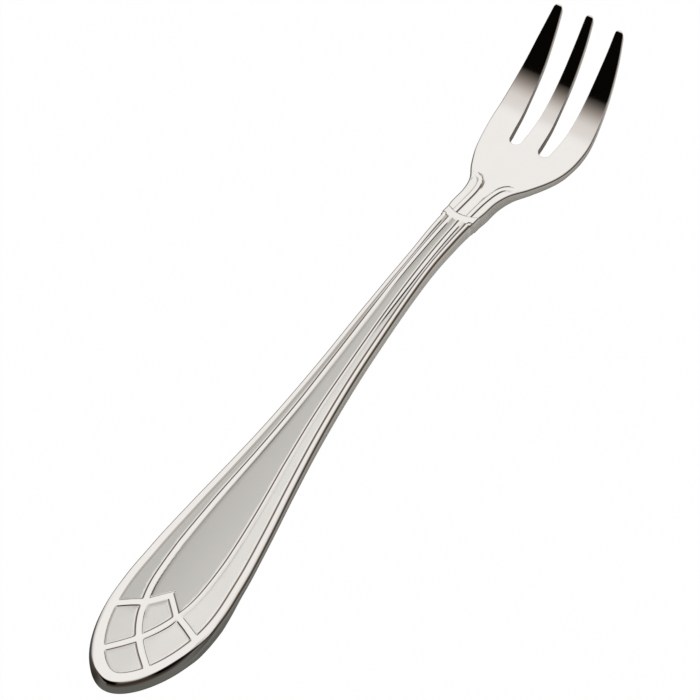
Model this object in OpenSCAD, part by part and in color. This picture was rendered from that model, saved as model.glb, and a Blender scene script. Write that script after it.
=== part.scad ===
// Oyster fork, one forging split into its named regions.
// Lengths are in millimetres. X runs across the fork, Y towards the tines, Z up.
// The fork lies on the plane z = 0 and the middle of its length is at y = 0.

/* [Overall] */
// Length from the end of the handle to the tip of the middle tine
overall_length = 146; // [125:1:170]
// Greatest width of the handle, near its end
handle_width = 18.9; // [16:0.1:22]
// Width of the stem just before the collar
stem_width = 5.3; // [4.6:0.1:6.2]
// Greatest width of the head, at the roots of the tines
head_width = 17.7; // [15.5:0.1:20]

/* [Side profile] */
// Height of the upper edge at the top of the arch
arch_height = 7.3; // [5.5:0.1:9.5]
// Height of the upper face at the tips of the tines
tip_height = 13.2; // [9:0.1:16]

/* [Thickness] */
// Edge thickness where the handle rests, which is also its height there
rest_thickness = 2.6; // [2.2:0.05:3.2]
// Edge thickness along the broad part of the handle
blade_thickness = 1.5; // [1.3:0.05:2]
// Edge thickness along the stem
stem_thickness = 1.95; // [1.6:0.05:2.4]
// Edge thickness at the neck
neck_thickness = 2.35; // [1.9:0.05:2.8]
// Thickness of the palm where it rests, which is also its height there
palm_thickness = 1.35; // [1.1:0.05:1.8]
// Upright thickness of the tines
tine_thickness = 1.05; // [0.9:0.05:1.4]
// How far the back of the handle bulges below its edges
back_crown = 0.45; // [0.2:0.05:0.7]
// How far the middle of the handle stands above its upper edge
dome_height = 0.8; // [0.4:0.05:1.1]

/* [Edges] */
// Bevel along the upper edges
upper_bevel = 0.3; // [0.1:0.05:0.4]
// Bevel along the lower edges
lower_bevel = 0.35; // [0.1:0.05:0.45]
// Bevel along the slots between the tines
slot_bevel = 0.15; // [0.05:0.05:0.25]

/* [Raised border and ribs] */
// Height of the border and the ribs above the ground between them
relief = 0.35; // [0.2:0.05:0.45]
// Width of the border at the broad part of the handle
border_width = 1.7; // [1.3:0.05:2.1]
// Width of the border along the stem
stem_border_width = 0.95; // [0.8:0.05:1.05]
// Depth of the border's outer wall below its upper edge
border_wall = 0.55; // [0.45:0.05:0.6]
// Width of the ribs at the broad part of the handle
rib_width = 1.1; // [0.8:0.05:1.3]
// Width of the ribs along the stem
stem_rib_width = 0.7; // [0.5:0.05:0.8]

/* [Collar and neck] */
// Length of the collar
collar_length = 2.2; // [1.6:0.1:3]
// How far the collar stands out at each side of the neck
collar_step = 0.2; // [0.1:0.05:0.4]
// Width of the neck behind the collar
neck_width = 6.4; // [5.4:0.1:7]
// Width of the ribs on the neck
neck_rib_width = 0.8; // [0.6:0.05:1.2]
// Width of the channel between the ribs on the neck
neck_channel_width = 1.9; // [1.4:0.1:2.2]

/* [Tines] */
// Distance from the middle plane to the middle of each slot's root
slot_offset = 2.75; // [2.5:0.05:3]
// Width of each slot at its root
slot_width = 2.2; // [1.8:0.1:2.5]
// Distance from the tip of the middle tine back to the slot roots
slot_length = 21.2; // [17:0.1:24]
// Width of a tine just behind its tip
tip_width = 1.3; // [0.9:0.05:1.5]
// Distance from the middle plane to the middle of an outer tip
tip_offset = 5.8; // [5.2:0.05:6.4]
// How far the outer tips stop short of the middle one
tip_setback = 0.25; // [0:0.05:0.6]

/* [Finish] */
// Steps along the broad part and the stem of the handle
handle_steps = 30; // [20:1:40]
// Colour of the polished steel
polished = [0.86, 0.86, 0.85];
// Colour of the satin steel
satin = [0.68, 0.68, 0.65];

/* [Hidden] */
handle_half = handle_width / 2;
stem_half = stem_width / 2;
neck_half = neck_width / 2;
head_half = head_width / 2;

// Places along the fork, measured from the end of the handle
nose_length = overall_length * 0.123;
field_start = overall_length * 0.02;
field_full = overall_length * 0.14;
collar_start = overall_length * 0.7135;
collar_end = collar_start + collar_length;
palm_start = overall_length * 0.794;
slot_root = overall_length - slot_length;
slot_center = slot_root + slot_width / 2;
outer_tip = overall_length - tip_setback;

// Blunt share of the handle's end, which keeps its first ring open
blunt_share = 0.996;
// How much slimmer than an ellipse the handle's end is
nose_taper = 0.12;
// Smallest step between two stations
step_gap = overall_length * 0.0002;

// Upper edge: place along the fork, then share of the way to the next level
handle_rise_shares = [[0, 0.16], [0.068, 0.06], [0.123, 0], [0.205, 0.123], [0.342, 0.487],
  [0.479, 0.833], [0.603, 1]];
head_fall_shares = [[0.685, 0.094], [0.74, 0.326], [0.795, 0.69], [0.83, 0.92], [0.848, 0.995], [0.866, 1]];
tine_rise_shares = [[0.897, 0.062], [0.938, 0.322], [0.973, 0.665], [1, 1]];
// Outline: place along the fork, then share of the growth from the narrow to the broad width
handle_width_shares = [[0.11, 1], [0.123, 1], [0.15, 0.993], [0.178, 0.945], [0.205, 0.89], [0.26, 0.725],
  [0.315, 0.538], [0.37, 0.37], [0.425, 0.242], [0.48, 0.15], [0.534, 0.093], [0.589, 0.04],
  [0.644, 0.003], [0.685, 0.018], [0.73, 0.035]];
head_width_shares = [[0.72, 0], [0.733, 0], [0.76, 0.005], [0.781, 0.138], [0.801, 0.438], [0.829, 0.762],
  [0.856, 0.938], [0.884, 1], [0.918, 0.945], [0.952, 0.838], [0.976, 0.729], [1, 0.575]];
// Bulge of the back: place along the fork, then share of the full bulge
crown_shares = [[0, 0], [0.14, 0], [0.22, 1], [0.62, 1], [0.72, 0.6], [0.79, 0], [1, 0]];
// Side of a tine: share of its length, then share of the way from root to tip
inner_side_shares = [[0, 0], [0.13, 0.22], [0.33, 0.41], [0.48, 0.48], [0.635, 0.555], [0.785, 0.715], [1, 1]];
middle_side_shares = [[0, 0], [0.13, 0.13], [0.33, 0.33], [0.48, 0.41], [0.63, 0.49], [0.775, 0.62],
  [0.875, 0.75], [1, 1]];
// Long ribs: place along the handle, then share of the ground's half width
rib_place_shares = [[0.095, 0.09], [0.112, 0.19], [0.132, 0.312], [0.151, 0.393], [0.17, 0.46], [0.19, 0.513],
  [0.21, 0.546], [0.23, 0.57], [0.285, 0.607], [0.38, 0.635], [0.48, 0.6], [0.58, 0.565], [0.67, 0.585],
  [0.77, 0.6], [1.02, 0.6]];
// Exponent of the pointed end of the ground
field_point_share = 0.62;
// Share of a bevel or a side that is left over at a narrow place
narrow_share = 0.4;

// Corners of the rib lattice, as shares of the broad end's length
foot_low = nose_length * 0.33;
foot_high = nose_length * 0.405;
notch_low = nose_length * 0.503;
notch_side = nose_length * 0.57;
notch_high = nose_length * 0.63;
crossing_end = nose_length * 0.69;
notch_side_half = rib_width * 0.78;
bar_rim_low = nose_length * 0.787;
bar_rim_high = nose_length * 0.858;
bar_rib_low = nose_length * 0.88;
bar_rib_high = nose_length * 0.945;
chevron_low = nose_length * 0.925;
chevron_high = nose_length * 1.005;
chevron_inner_peak = nose_length * 1.04;
chevron_outer_peak = nose_length * 1.125;

// Smooth curve through a table of places and values, with the slope at a point taken from its neighbours
function slope_at(table, i) =
  let (lower = max(i - 1, 0), upper = min(i + 1, len(table) - 1))
  (table[upper][1] - table[lower][1]) / (table[upper][0] - table[lower][0]);
function span_of(table, at) =
  let (below = [for (i = [0 : len(table) - 2]) if (table[i][0] <= at) i])
  len(below) == 0 ? 0 : below[len(below) - 1];
function smooth(table, at) =
  let (
    i = span_of(table, at),
    gap = table[i + 1][0] - table[i][0],
    t = min(max((at - table[i][0]) / gap, 0), 1),
    a = table[i][1],
    b = table[i + 1][1],
    da = slope_at(table, i) * gap,
    db = slope_at(table, i + 1) * gap
  )
  a + t * (da + t * (3 * (b - a) - 2 * da - db + t * (2 * (a - b) + da + db)));

// Levels of the upper edge, as one table in millimetres
edge_table = concat(
  [for (p = handle_rise_shares) [p[0] * overall_length, rest_thickness + p[1] * (arch_height - rest_thickness)]],
  [for (p = head_fall_shares) [p[0] * overall_length, arch_height - p[1] * (arch_height - palm_thickness)]],
  [for (p = tine_rise_shares) [p[0] * overall_length, palm_thickness + p[1] * (tip_height - palm_thickness)]]
);
function edge_level(y) = smooth(edge_table, y);

thickness_table = [
  [0, rest_thickness * 0.88],
  [overall_length * 0.07, rest_thickness * 0.97],
  [overall_length * 0.093, rest_thickness * 1.05],
  [overall_length * 0.13, rest_thickness * 1.02],
  [overall_length * 0.15, rest_thickness * 0.85],
  [overall_length * 0.175, (rest_thickness + blade_thickness) * 0.42],
  [overall_length * 0.215, blade_thickness],
  [overall_length * 0.26, blade_thickness],
  [overall_length * 0.34, (blade_thickness + stem_thickness) / 2],
  [overall_length * 0.44, stem_thickness],
  [overall_length * 0.55, stem_thickness],
  [overall_length * 0.685, neck_thickness],
  [overall_length * 0.73, neck_thickness * 1.12],
  [overall_length * 0.765, neck_thickness],
  [overall_length * 0.8, (neck_thickness + palm_thickness) * 0.47],
  [overall_length * 0.843, palm_thickness * 1.06],
  [overall_length * 0.866, palm_thickness * 1.03],
  [overall_length * 0.885, palm_thickness * 0.93],
  [overall_length * 0.92, tine_thickness],
  [overall_length, tine_thickness]
];
function back_level(y) = max(0, edge_level(y) - smooth(thickness_table, y));
function crown_at(y) = back_crown * max(0, smooth(crown_shares, y / overall_length));
function keel_level(y) = max(0, back_level(y) - crown_at(y));

// Half width of the handle, a slimmed ellipse at its end and a smooth table after it
function handle_half_at(y) =
  y < nose_length
    ? handle_half * sqrt(1 - pow((1 - y / nose_length) * blunt_share, 2))
      * (1 - nose_taper * pow(1 - y / nose_length, 3))
    : stem_half + smooth(handle_width_shares, y / overall_length) * (handle_half - stem_half);
function head_half_at(y) =
  neck_half + smooth(head_width_shares, y / overall_length) * (head_half - neck_half);

// Ground between the borders: its half width and its level
function border_at(y) =
  stem_border_width
  + (border_width - stem_border_width) * (handle_half_at(y) - stem_half) / (handle_half - stem_half);
field_half = handle_half_at(field_full) - border_at(field_full);
function ground_half_at(y) =
  y <= field_start + step_gap / 2 ? 0
  : y < field_full
    ? field_half * pow(1 - pow(1 - (y - field_start) / (field_full - field_start), 2), field_point_share)
    : handle_half_at(y) - border_at(y);
function crest_level(y) = edge_level(y) + dome_height * handle_half_at(y) / handle_half;

// Stations along the handle: rows of the ellipse before and after the point of the ground, then even steps
point_angle = acos((1 - field_start / nose_length) * blunt_share);
blunt_angle = acos(blunt_share);
nose_rows = 5;
field_rows = 11;
function nose_place(angle) = nose_length * (1 - cos(angle) / blunt_share);
stations = concat(
  [for (i = [0 : nose_rows - 1]) nose_place(blunt_angle + (point_angle - blunt_angle) * i / nose_rows)],
  [field_start],
  [for (i = [1 : field_rows]) nose_place(point_angle + (90 - point_angle) * i / field_rows)],
  [for (i = [1 : handle_steps]) nose_length + (collar_start - nose_length) * i / handle_steps]
);
ground_table = [for (y = stations) [y, ground_half_at(y)]];
ground_level_table = [for (y = stations) [y, crest_level(y) - relief]];
function rib_center_at(y) = smooth(rib_place_shares, y / collar_start) * ground_half_at(y);
function rib_half_at(y) =
  (stem_rib_width + (rib_width - stem_rib_width) * (handle_half_at(y) - stem_half) / (handle_half - stem_half)) / 2;
rib_inner_table = [for (y = stations) [y, rib_center_at(y) - rib_half_at(y)]];
rib_outer_table = [for (y = stations) [y, rib_center_at(y) + rib_half_at(y)]];

// The part of a table between two places, with its ends worked out
function follow(table, from, to) = concat(
  [[from, lookup(from, table)]],
  [for (p = table) if (p[0] > from + step_gap && p[0] < to - step_gap) p],
  [[to, lookup(to, table)]]
);
function sorted(list) =
  len(list) < 2 ? list
  : let (
      pivot = list[floor(len(list) / 2)],
      less = [for (v = list) if (v < pivot - step_gap) v],
      more = [for (v = list) if (v > pivot + step_gap) v]
    )
    concat(sorted(less), [pivot], sorted(more));

// A solid through rings of points at places along Y. Each row is [y, ring] and each ring point is [x, z]
// with x at least zero. With mirrored set, the other half is added and the middle plane is left open.
module loft(rows, side = 1, mirrored = false) {
  count = len(rows[0][1]);
  row_count = len(rows);
  halves = mirrored ? [1, -1] : [side];
  points = [for (h = halves) for (row = rows) for (p = row[1]) [h * p[0], row[0] - overall_length / 2, p[1]]];
  function first_same(ring, i) = [for (j = [0 : i]) if (ring[j] == ring[i]) j][0];
  function id(h, k, i) =
    let (j = first_same(rows[k][1], i), shared = rows[k][1][j][0] == 0)
    (shared ? 0 : h * row_count * count) + k * count + j;
  function turned(face, h) =
    halves[h] > 0 ? face : concat([face[0]], [for (i = [len(face) - 1 : -1 : 1]) face[i]]);
  function whole(face) = face[0] != face[1] && face[1] != face[2] && face[0] != face[2];
  function distinct(face) =
    [for (i = [0 : len(face) - 1]) if (face[i] != face[(i + 1) % len(face)]) face[i]];
  function on_middle(k, i) =
    mirrored && rows[k][1][i][0] == 0 && rows[k + 1][1][i][0] == 0
    && rows[k][1][(i + 1) % count][0] == 0 && rows[k + 1][1][(i + 1) % count][0] == 0;
  wall_faces = [
    for (h = [0 : len(halves) - 1]) for (k = [0 : row_count - 2]) for (i = [0 : count - 1])
      if (!on_middle(k, i))
        let (
          n = (i + 1) % count,
          a = id(h, k, i),
          b = id(h, k, n),
          c = id(h, k + 1, n),
          d = id(h, k + 1, i),
          outward = rows[k][1][n][0] + rows[k + 1][1][n][0] >= rows[k][1][i][0] + rows[k + 1][1][i][0]
        )
        for (face = outward ? [[a, b, c], [a, c, d]] : [[a, b, d], [b, c, d]])
          if (whole(face)) turned(face, h)
  ];
  cap_faces = [
    for (h = [0 : len(halves) - 1])
      for (face = [
        distinct([for (i = [count - 1 : -1 : 0]) id(h, 0, i)]),
        distinct([for (i = [-1 : count - 2]) id(h, row_count - 1, (i + count) % count)])
      ])
        if (len(face) > 2) turned(face, h)
  ];
  polyhedron(points = points, faces = concat(wall_faces, cap_faces), convexity = 4);
}

// A raised band on the ground, between an inner and an outer bound given as tables
module raised_band(inner, outer, side = 1, mirrored = false) {
  first = inner[0][0];
  last = inner[len(inner) - 1][0];
  places = sorted(concat(
    [for (p = inner) p[0]],
    [for (p = outer) p[0]],
    [for (y = stations) if (y > first + step_gap && y < last - step_gap) y]
  ));
  rows = [
    for (y = places)
      let (
        x0 = max(0, lookup(y, inner)),
        x1 = max(x0, lookup(y, outer)),
        base = lookup(y, ground_level_table)
      )
      [y, [[x0, base], [x1, base], [x1, base + relief], [x0, base + relief]]]
  ];
  loft(rows, side, mirrored);
}

module handle_blade() {
  rows = [
    for (y = stations)
      let (
        half = handle_half_at(y),
        bevel = min(lower_bevel, half * narrow_share),
        back = back_level(y)
      )
      [y, [
        [0, keel_level(y)],
        [half / 2, (back + 3 * keel_level(y)) / 4],
        [half - bevel, back],
        [half, back + lower_bevel],
        [half, edge_level(y) - border_wall],
        [ground_half_at(y), lookup(y, ground_level_table)],
        [0, lookup(y, ground_level_table)]
      ]]
  ];
  color(satin) loft(rows, mirrored = true);
}

module handle_border() {
  rows = [
    for (y = stations)
      let (
        half = handle_half_at(y),
        bevel = min(upper_bevel, half * narrow_share),
        ground = ground_half_at(y)
      )
      [y, [
        [ground, lookup(y, ground_level_table)],
        [half, edge_level(y) - border_wall],
        [half, edge_level(y) - upper_bevel],
        [half - bevel, edge_level(y)],
        [ground, lookup(y, ground_level_table) + relief]
      ]]
  ];
  color(polished) loft(rows, mirrored = true);
}

module rib_crossing() {
  inner = concat(
    [[foot_low, lookup(foot_low, ground_table)], [notch_low, 0], [notch_high, 0]],
    [[crossing_end, lookup(crossing_end, rib_inner_table)]]
  );
  outer = concat(
    follow(ground_table, foot_low, foot_high),
    [[notch_side, notch_side_half], [crossing_end, lookup(crossing_end, rib_outer_table)]]
  );
  color(polished) raised_band(inner, outer, mirrored = true);
}

module long_rib(side) {
  color(polished)
    raised_band(
      follow(rib_inner_table, crossing_end, collar_start),
      follow(rib_outer_table, crossing_end, collar_start),
      side
    );
}
module rib_left() { long_rib(-1); }
module rib_right() { long_rib(1); }

module outer_bar(side) {
  inner = concat(
    [[bar_rim_low, lookup(bar_rim_low, ground_table)]],
    follow(rib_outer_table, bar_rib_low, bar_rib_high)
  );
  outer = concat(
    follow(ground_table, bar_rim_low, bar_rim_high),
    [[bar_rib_high, lookup(bar_rib_high, rib_outer_table)]]
  );
  color(polished) raised_band(inner, outer, side);
}
module bar_left() { outer_bar(-1); }
module bar_right() { outer_bar(1); }

module chevron() {
  inner = [[chevron_low, lookup(chevron_low, rib_inner_table)], [chevron_inner_peak, 0], [chevron_outer_peak, 0]];
  outer = concat(follow(rib_inner_table, chevron_low, chevron_high), [[chevron_outer_peak, 0]]);
  color(polished) raised_band(inner, outer, mirrored = true);
}

// Half ring of a plain region: back, lower bevel, side, upper bevel, top
function plain_ring(half, back, keel, top) = [
  [0, keel],
  [half / 2, (back + 3 * keel) / 4],
  [half - lower_bevel, back],
  [half, back + lower_bevel],
  [half, top - upper_bevel],
  [half - upper_bevel, top],
  [0, top]
];

module collar() {
  half = neck_half + collar_step;
  rows = [
    for (y = [collar_start, collar_start + collar_length / 2, collar_end])
      [y, plain_ring(
        half,
        max(0, back_level(y) - collar_step / 2),
        max(0, keel_level(y) - collar_step / 2),
        crest_level(collar_start) + (edge_level(y) - edge_level(collar_start)) + collar_step
      )]
  ];
  color(polished) loft(rows, mirrored = true);
}

neck_steps = 9;
neck_stations = [for (i = [0 : neck_steps]) collar_end + (palm_start - collar_end) * i / neck_steps];
module neck() {
  rows = [
    for (y = neck_stations) [y, plain_ring(head_half_at(y), back_level(y), keel_level(y), edge_level(y))]
  ];
  color(polished) loft(rows, mirrored = true);
}

// Ribs on the neck: share of its length, then share of the way from the channel out to the shoulder
neck_rib_shares = [[0, 0], [0.4, 0.01], [0.65, 0.05], [0.8, 0.16], [0.9, 0.36], [1, 0.7]];
module neck_rib(side) {
  rows = [
    for (y = neck_stations)
      let (
        share = smooth(neck_rib_shares, (y - collar_end) / (palm_start - collar_end)),
        room = head_half_at(y) - upper_bevel,
        inner = neck_channel_width / 2 + share * (room - neck_channel_width / 2 - neck_rib_width),
        top = edge_level(y)
      )
      [y, [[inner, top], [inner + neck_rib_width, top], [inner + neck_rib_width, top + relief], [inner, top + relief]]]
  ];
  color(polished) loft(rows, side);
}
module neck_rib_left() { neck_rib(-1); }
module neck_rib_right() { neck_rib(1); }

palm_steps = 9;
module palm() {
  rows = [
    for (i = [0 : palm_steps])
      let (y = palm_start + (slot_root - palm_start) * i / palm_steps)
      [y, plain_ring(head_half_at(y), back_level(y), keel_level(y), edge_level(y))]
  ];
  color(polished) loft(rows, mirrored = true);
}

// Places along a tine: rows of the slot's round root, then even steps, then the rounded tip
root_rows = 6;
tine_steps = 12;
tip_round = tip_width * 0.35;
function tine_places(tip) = concat(
  [for (i = [0 : root_rows]) slot_center - slot_width / 2 * cos(90 * i / root_rows)],
  [for (i = [1 : tine_steps]) slot_center + (tip - tip_round - slot_center) * i / tine_steps],
  [tip - tip_round * 0.4, tip]
);
// How far the slot's round root has opened from its middle line
function root_opening(y) =
  y < slot_root + step_gap / 2 ? 0
  : y < slot_center ? sqrt(pow(slot_width / 2, 2) - pow(slot_center - y, 2))
  : slot_width / 2;
// Narrowing of a tine within its rounded tip
function tip_inset(y, tip) =
  y > tip - tip_round ? tip_round * (1 - sqrt(max(0, 1 - pow((y - tip + tip_round) / tip_round, 2)))) : 0;
function slot_bevel_at(y) = slot_bevel * min(1, root_opening(y) / (slot_width / 2));

module outer_tine(side) {
  root_inner = slot_offset + slot_width / 2;
  tip_inner = tip_offset - tip_width / 2;
  rows = [
    for (y = tine_places(outer_tip))
      let (
        along = max(0, (y - slot_center) / (outer_tip - slot_center)),
        inset = min(tip_inset(y, outer_tip), tip_width * narrow_share),
        inner = (y < slot_center ? slot_offset + root_opening(y)
          : root_inner + smooth(inner_side_shares, along) * (tip_inner - root_inner)) + inset,
        reach = head_half_at(y) - head_half_at(outer_tip) + tip_inner + tip_width,
        blend = min(1, max(0, (y - slot_root) / (outer_tip - slot_root))),
        outer = head_half_at(y) * (1 - blend) + reach * blend - inset,
        back = back_level(y),
        top = edge_level(y),
        notch = slot_bevel_at(y),
        low = min(lower_bevel, (outer - inner) * narrow_share, (top - back) * narrow_share),
        high = min(upper_bevel, (outer - inner) * narrow_share, (top - back) * narrow_share)
      )
      [y, [
        [inner + notch, back],
        [outer - low, back],
        [outer, back + low],
        [outer, top - high],
        [outer - high, top],
        [inner + notch, top],
        [inner, top - notch],
        [inner, back + notch]
      ]]
  ];
  color(polished) loft(rows, side);
}
module tine_left() { outer_tine(-1); }
module tine_right() { outer_tine(1); }

module tine_middle() {
  root_half = slot_offset - slot_width / 2;
  tip_half = tip_width / 2;
  rows = [
    for (y = tine_places(overall_length))
      let (
        along = max(0, (y - slot_center) / (overall_length - slot_center)),
        inset = min(tip_inset(y, overall_length), tip_width * narrow_share / 2),
        half = (y < slot_center ? slot_offset - root_opening(y)
          : root_half + smooth(middle_side_shares, along) * (tip_half - root_half)) - inset,
        back = back_level(y),
        top = edge_level(y),
        notch = slot_bevel_at(y)
      )
      [y, [
        [0, back],
        [half - notch, back],
        [half, back + notch],
        [half, top - notch],
        [half - notch, top],
        [0, top]
      ]]
  ];
  color(polished) loft(rows, mirrored = true);
}

handle_blade();
handle_border();
rib_crossing();
rib_left();
rib_right();
bar_left();
bar_right();
chevron();
collar();
neck();
neck_rib_left();
neck_rib_right();
palm();
tine_left();
tine_middle();
tine_right();
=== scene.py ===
import bpy
import math
import numpy as np
from mathutils import Matrix, Vector


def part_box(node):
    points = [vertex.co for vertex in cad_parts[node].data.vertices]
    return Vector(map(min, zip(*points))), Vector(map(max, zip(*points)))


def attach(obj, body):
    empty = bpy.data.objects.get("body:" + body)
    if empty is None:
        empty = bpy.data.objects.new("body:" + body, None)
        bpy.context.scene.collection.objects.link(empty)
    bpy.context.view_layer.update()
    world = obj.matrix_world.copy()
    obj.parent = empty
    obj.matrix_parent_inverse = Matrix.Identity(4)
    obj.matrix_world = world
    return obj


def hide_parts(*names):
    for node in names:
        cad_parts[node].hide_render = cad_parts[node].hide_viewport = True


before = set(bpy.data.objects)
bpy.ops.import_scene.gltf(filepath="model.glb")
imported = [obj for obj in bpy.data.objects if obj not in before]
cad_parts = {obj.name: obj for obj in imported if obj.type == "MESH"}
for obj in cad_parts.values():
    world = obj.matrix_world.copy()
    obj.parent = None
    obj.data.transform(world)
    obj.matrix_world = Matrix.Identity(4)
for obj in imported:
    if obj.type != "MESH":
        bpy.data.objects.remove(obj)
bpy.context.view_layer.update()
print("frame loaded")

# Lengths below are in millimetres. A place along the fork is its distance from the end of the handle.
bladeLow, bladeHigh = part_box("handle_blade")
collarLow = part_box("collar")[0]
palmLow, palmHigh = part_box("palm")
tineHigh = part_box("tine_right")[1]
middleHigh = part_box("tine_middle")[1]

forkSizes = {
    "length": (middleHigh.y - bladeLow.y) * 1000,
    "handleHalf": bladeHigh.x * 1000,
    "stemHalf": 2.65,
    "neckHalf": 3.2,
    "headHalf": tineHigh.x * 1000,
    "archHeight": 7.3,
    "tipHeight": middleHigh.z * 1000,
    "restThickness": 2.6,
    "bladeThickness": 1.5,
    "stemThickness": 1.95,
    "neckThickness": 2.35,
    "palmThickness": 1.35,
    "tineThickness": 1.05,
    "backCrown": 0.45,
    "collarStart": (collarLow.y - bladeLow.y) * 1000,
    "palmStart": (palmLow.y - bladeLow.y) * 1000,
    "slotRoot": (palmHigh.y - bladeLow.y) * 1000,
    "outerTip": (tineHigh.y - bladeLow.y) * 1000,
}
forkLength = forkSizes["length"]
noseLength = forkLength * 0.123
noseTaper = 0.12


def smoothStep(low, high, value):
    # 0 below low, 1 above high and an S curve between
    t = np.clip((value - low) / (high - low), 0, 1)
    return t * t * (3 - 2 * t)


def lineAt(value, places):
    # 0 outside the first and the last of four places, 1 between the middle two and S curves between
    return smoothStep(places[0], places[1], value) * smoothStep(places[3], places[2], value)


def curveThrough(table, at):
    # cubic pieces through the table's points, with the slope at a point taken from its neighbours
    x, y = np.array(table, float).T
    low = np.maximum(np.arange(len(x)) - 1, 0)
    high = np.minimum(np.arange(len(x)) + 1, len(x) - 1)
    slope = (y[high] - y[low]) / (x[high] - x[low])
    i = np.clip(np.searchsorted(x, at, side="right") - 1, 0, len(x) - 2)
    gap = x[i + 1] - x[i]
    t = np.clip((at - x[i]) / gap, 0, 1)
    a, b, da, db = y[i], y[i + 1], slope[i] * gap, slope[i + 1] * gap
    return a + t * (da + t * (3 * (b - a) - 2 * da - db + t * (2 * (a - b) + da + db)))


handleRiseShares = [[0, 0.16], [0.068, 0.06], [0.123, 0], [0.205, 0.123], [0.342, 0.487],
                    [0.479, 0.833], [0.603, 1]]
headFallShares = [[0.685, 0.094], [0.74, 0.326], [0.795, 0.69], [0.83, 0.92], [0.848, 0.995], [0.866, 1]]
tineRiseShares = [[0.897, 0.062], [0.938, 0.322], [0.973, 0.665], [1, 1]]
handleWidthShares = [[0.11, 1], [0.123, 1], [0.15, 0.993], [0.178, 0.945], [0.205, 0.89], [0.26, 0.725],
                     [0.315, 0.538], [0.37, 0.37], [0.425, 0.242], [0.48, 0.15], [0.534, 0.093],
                     [0.589, 0.04], [0.644, 0.003], [0.685, 0.018], [0.73, 0.035]]
headWidthShares = [[0.72, 0], [0.733, 0], [0.76, 0.005], [0.781, 0.138], [0.801, 0.438], [0.829, 0.762],
                   [0.856, 0.938], [0.884, 1], [0.918, 0.945], [0.952, 0.838], [0.976, 0.729], [1, 0.575]]
crownShares = [[0, 0], [0.14, 0], [0.22, 1], [0.62, 1], [0.72, 0.6], [0.79, 0], [1, 0]]


def heights(shares, start, end):
    return [[p * forkLength, start + q * (end - start)] for p, q in shares]


def edgeLevel(y):
    # height of the upper edge: falls from the handle's end to its rest, rises to the arch, falls to the palm
    # and rises along the tines
    s = forkSizes
    arch, palm = s["archHeight"], s["palmThickness"]
    table = heights(handleRiseShares, s["restThickness"], arch) + heights(headFallShares, arch, palm)
    return curveThrough(table + heights(tineRiseShares, palm, s["tipHeight"]), y)


def backLevel(y):
    # height of the lower edge: the upper edge less the thickness, and never below the table
    s = forkSizes
    rest, blade, stem = s["restThickness"], s["bladeThickness"], s["stemThickness"]
    neck, palm, tine = s["neckThickness"], s["palmThickness"], s["tineThickness"]
    table = [[0, rest * 0.88], [0.07, rest * 0.97], [0.093, rest * 1.05], [0.13, rest * 1.02],
             [0.15, rest * 0.85], [0.175, (rest + blade) * 0.42], [0.215, blade], [0.26, blade],
             [0.34, (blade + stem) / 2], [0.44, stem], [0.55, stem], [0.685, neck], [0.73, neck * 1.12],
             [0.765, neck], [0.8, (neck + palm) * 0.47], [0.843, palm * 1.06], [0.866, palm * 1.03],
             [0.885, palm * 0.93], [0.92, tine], [1, tine]]
    return np.maximum(0, edgeLevel(y) - curveThrough(table, y / forkLength))


def handleHalfAt(y):
    # half width: a quarter of an ellipse at the end, then the tapering side
    s = forkSizes
    left = np.clip(1 - y / noseLength, 0, 1)
    nose = s["handleHalf"] * np.sqrt(1 - left ** 2) * (1 - noseTaper * left ** 3)
    side = s["stemHalf"] + curveThrough(handleWidthShares, y / forkLength) * (s["handleHalf"] - s["stemHalf"])
    return np.where(y < noseLength, nose, side)


def headHalfAt(y):
    # half width of the neck, the palm and the outer sides of the tines
    s = forkSizes
    return s["neckHalf"] + curveThrough(headWidthShares, y / forkLength) * (s["headHalf"] - s["neckHalf"])


sharpAngle = math.radians(48)   # edges sharper than this stay sharp


def makePiece(name, node, points, faces, normals, values):
    # Puts quads into a mesh: points that coincide become one, quads with two equal corners become
    # triangles, and quads with fewer corners go. normals holds a direction for each corner, or zeros for
    # the plain one.
    keys = np.round(points * 1e5).astype(np.int64)
    first, ids = np.unique(keys, axis=0, return_index=True, return_inverse=True)[1:]
    quads = ids.reshape(-1)[faces]
    keep = quads != np.roll(quads, -1, axis=1)
    keep &= ~((quads == np.roll(quads, -2, axis=1)) & (np.arange(4) >= 2))
    keep[keep.sum(1) < 3] = False
    counts = keep.sum(1)
    counts = counts[counts > 0]
    used, loops = np.unique(quads[keep], return_inverse=True)
    place = points[first][used] / 1000
    place[:, 1] += bladeLow.y
    mesh = bpy.data.meshes.new(name)
    mesh.vertices.add(len(place))
    mesh.vertices.foreach_set("co", place.ravel())
    mesh.loops.add(len(loops))
    mesh.loops.foreach_set("vertex_index", loops.ravel())
    mesh.polygons.add(len(counts))
    mesh.polygons.foreach_set("loop_start", np.concatenate([[0], np.cumsum(counts)[:-1]]))
    mesh.update(calc_edges=True)
    mesh.shade_smooth()
    mesh.set_sharp_from_angle(angle=sharpAngle)
    for key, value in values.items():
        layer = mesh.attributes.new(key, "FLOAT", "POINT")
        layer.data.foreach_set("value", value[first][used].astype(np.float32))
    if normals is not None:
        mesh.normals_split_custom_set(normals[keep])
    mesh.validate(clean_customdata=False)
    mesh.materials.append(steel)
    piece = bpy.data.objects.new(name, mesh)
    bpy.context.scene.collection.objects.link(piece)
    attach(piece, "root")
    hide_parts(node)


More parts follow.
